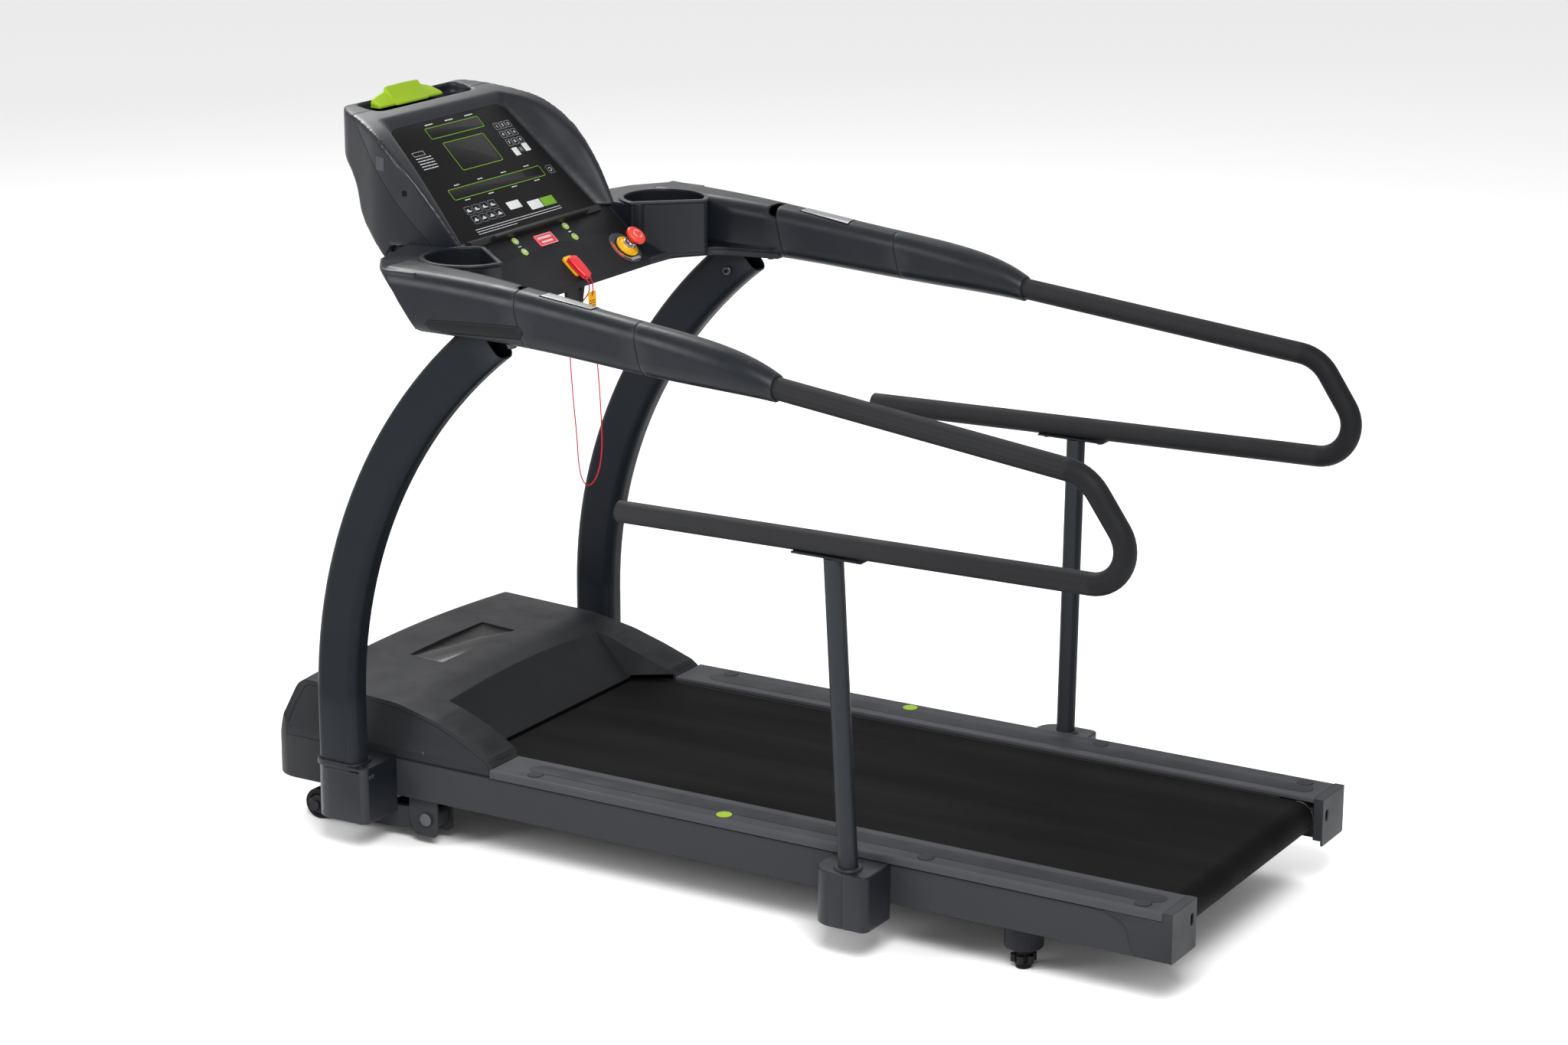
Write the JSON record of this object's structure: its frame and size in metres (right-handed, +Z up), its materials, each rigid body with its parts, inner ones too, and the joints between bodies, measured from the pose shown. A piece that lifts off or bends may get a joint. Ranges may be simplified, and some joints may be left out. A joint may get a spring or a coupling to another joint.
{
  "type": "rehabilitation treadmill",
  "caption": "Motorised rehabilitation treadmill with a flat running belt, arched uprights, a display console and long handrails that run back over the deck.",
  "frame": {"origin": "On the floor, under the middle of the box that holds the treadmill.", "axes": "+Y is the way the user walks, towards the console; +X is to the right of the user; +Z is up."},
  "size_m": [0.9592, 1.86, 1.332],
  "materials": {
    "dark_frame": "matte",
    "steel": "satin",
    "roller_steel": "satin",
    "pulley_metal": "matte",
    "rail_grey": "matte",
    "cap_grey": "matte",
    "dot_grey": "matte",
    "green_plastic": "gloss",
    "deck_wood": "satin",
    "black_rubber": "matte",
    "belt_rubber": "matte",
    "controller_alloy": "satin",
    "black_plastic": "matte",
    "hood_charcoal": "matte",
    "tube_powder": "satin",
    "arm_charcoal": "matte",
    "grip_dark": "matte",
    "bright_steel": "polished",
    "console_charcoal": "satin",
    "overlay_film": "satin",
    "board_green": "matte",
    "red_plastic": "gloss",
    "yellow_plastic": "gloss"
  },
  "bodies": {
    "base": {"side_frames": "dark_frame", "cross_members": "dark_frame", "rail_covers": "rail_grey", "rail_dots": "dot_grey", "rail_markers": "green_plastic", "end_caps": "cap_grey", "deck_board": "deck_wood", "deck_cushions": "black_rubber", "running_belt": "belt_rubber", "roller_axles": "steel", "drive_motor": "dark_frame", "drive_belt": "black_rubber", "motor_controller": "controller_alloy", "power_inlet": "black_plastic", "hood_cover": "hood_charcoal", "hood_sides": "hood_charcoal", "uprights": "tube_powder", "upright_sockets": "cap_grey", "support_posts": "tube_powder", "post_covers": "cap_grey", "handrails": "tube_powder", "handrail_plugs": "black_plastic", "arm_sleeves": "arm_charcoal", "grip_covers": "grip_dark", "pulse_plates": "bright_steel", "console_base": "arm_charcoal", "console_base_cover": "arm_charcoal", "cup_holders": "grip_dark", "console_face": "console_charcoal", "console_shell": "console_charcoal", "overlay_panel": "overlay_film", "book_ledge": "black_plastic", "control_board": "board_green", "estop_base": "yellow_plastic", "key_base": "yellow_plastic", "lanyard_clip": "black_plastic", "lift_motor": "steel", "foot_housings": "cap_grey", "frame_bolts": "steel"},
    "front_roller": {"front_roller": "roller_steel", "roller_pulley": "pulley_metal"},
    "rear_roller": {"rear_roller": "roller_steel"},
    "motor_rotor": {"motor_pulley": "pulley_metal"},
    "lift": {"lift_frame": "dark_frame"},
    "lift_screw": {"lift_screw": "steel"},
    "left_wheel": {"left_wheel": "black_rubber"},
    "right_wheel": {"right_wheel": "black_rubber"},
    "left_foot": {"left_foot": "black_plastic"},
    "right_foot": {"right_foot": "black_plastic"},
    "stop_button": {"stop_button": "red_plastic"},
    "speed_up_button": {"speed_up_button": "green_plastic"},
    "speed_down_button": {"speed_down_button": "green_plastic"},
    "incline_up_button": {"incline_up_button": "green_plastic"},
    "incline_down_button": {"incline_down_button": "green_plastic"},
    "estop_button": {"estop_button": "red_plastic"},
    "safety_key": {"safety_key": "red_plastic", "lanyard": "black_rubber", "lanyard_tag": "yellow_plastic"},
    "fan_louvre": {"fan_louvre": "green_plastic"},
    "power_switch": {"power_switch": "black_plastic"}
  },
  "joints": [
    {"name": "front_roller_spin", "type": "hinge", "parent": "base", "child": "front_roller", "pos_m": [0, 0.54, 0.142], "axis": [1, 0, 0], "continuous": true},
    {"name": "rear_roller_spin", "type": "hinge", "parent": "base", "child": "rear_roller", "pos_m": [0, -0.886, 0.142], "axis": [1, 0, 0], "continuous": true},
    {"name": "motor_spin", "type": "hinge", "parent": "base", "child": "motor_rotor", "pos_m": [0, 0.775, 0.186], "axis": [1, 0, 0], "continuous": true},
    {"name": "incline_lift", "type": "hinge", "parent": "base", "child": "lift", "pos_m": [0, 0.563, 0.052], "axis": [-1, 0, 0], "range_deg": [0, 38]},
    {"name": "lift_screw_travel", "type": "slide", "parent": "base", "child": "lift_screw", "axis": [0, 0, -1], "range_m": [0, 0.0977]},
    {"name": "left_wheel_roll", "type": "hinge", "parent": "lift", "child": "left_wheel", "pos_m": [-0.321, 0.822, 0.029], "axis": [1, 0, 0], "continuous": true},
    {"name": "right_wheel_roll", "type": "hinge", "parent": "lift", "child": "right_wheel", "pos_m": [0.321, 0.822, 0.029], "axis": [1, 0, 0], "continuous": true},
    {"name": "left_foot_height", "type": "slide", "parent": "base", "child": "left_foot", "axis": [0, 0, -1], "range_m": [0, 0.012]},
    {"name": "right_foot_height", "type": "slide", "parent": "base", "child": "right_foot", "axis": [0, 0, -1], "range_m": [0, 0.012]},
    {"name": "stop_button_press", "type": "slide", "parent": "base", "child": "stop_button", "axis": [0, 0.6526, -0.7577], "range_m": [0, 0.0012], "stiffness_N_per_m": 1500, "springref_m": -0.0004},
    {"name": "speed_up_button_press", "type": "slide", "parent": "base", "child": "speed_up_button", "axis": [0, 0.6526, -0.7577], "range_m": [0, 0.0012], "stiffness_N_per_m": 1500, "springref_m": -0.0004},
    {"name": "speed_down_button_press", "type": "slide", "parent": "base", "child": "speed_down_button", "axis": [0, 0.6526, -0.7577], "range_m": [0, 0.0012], "stiffness_N_per_m": 1500, "springref_m": -0.0004},
    {"name": "incline_up_button_press", "type": "slide", "parent": "base", "child": "incline_up_button", "axis": [0, 0.6526, -0.7577], "range_m": [0, 0.0012], "stiffness_N_per_m": 1500, "springref_m": -0.0004},
    {"name": "incline_down_button_press", "type": "slide", "parent": "base", "child": "incline_down_button", "axis": [0, 0.6526, -0.7577], "range_m": [0, 0.0012], "stiffness_N_per_m": 1500, "springref_m": -0.0004},
    {"name": "estop_press", "type": "slide", "parent": "base", "child": "estop_button", "axis": [0, 0.6526, -0.7577], "range_m": [0, 0.004]},
    {"name": "safety_key_pull", "type": "slide", "parent": "base", "child": "safety_key", "axis": [0, -0.6526, 0.7577], "range_m": [0, 0.006]},
    {"name": "fan_louvre_tilt", "type": "hinge", "parent": "base", "child": "fan_louvre", "pos_m": [0, 0.816, 1.302], "axis": [1, 0, 0], "range_deg": [0, 20]},
    {"name": "power_rocker", "type": "hinge", "parent": "base", "child": "power_switch", "pos_m": [0, 0.911, 0.114], "axis": [1, 0, 0], "range_deg": [0, 10]}
  ],
  "couplings": [
    {"joint": "rear_roller_spin", "follows": "front_roller_spin", "ratio": 1},
    {"joint": "motor_spin", "follows": "front_roller_spin", "ratio": 2.386},
    {"joint": "lift_screw_travel", "follows": "incline_lift", "m_per_rad": 0.14724}
  ]
}
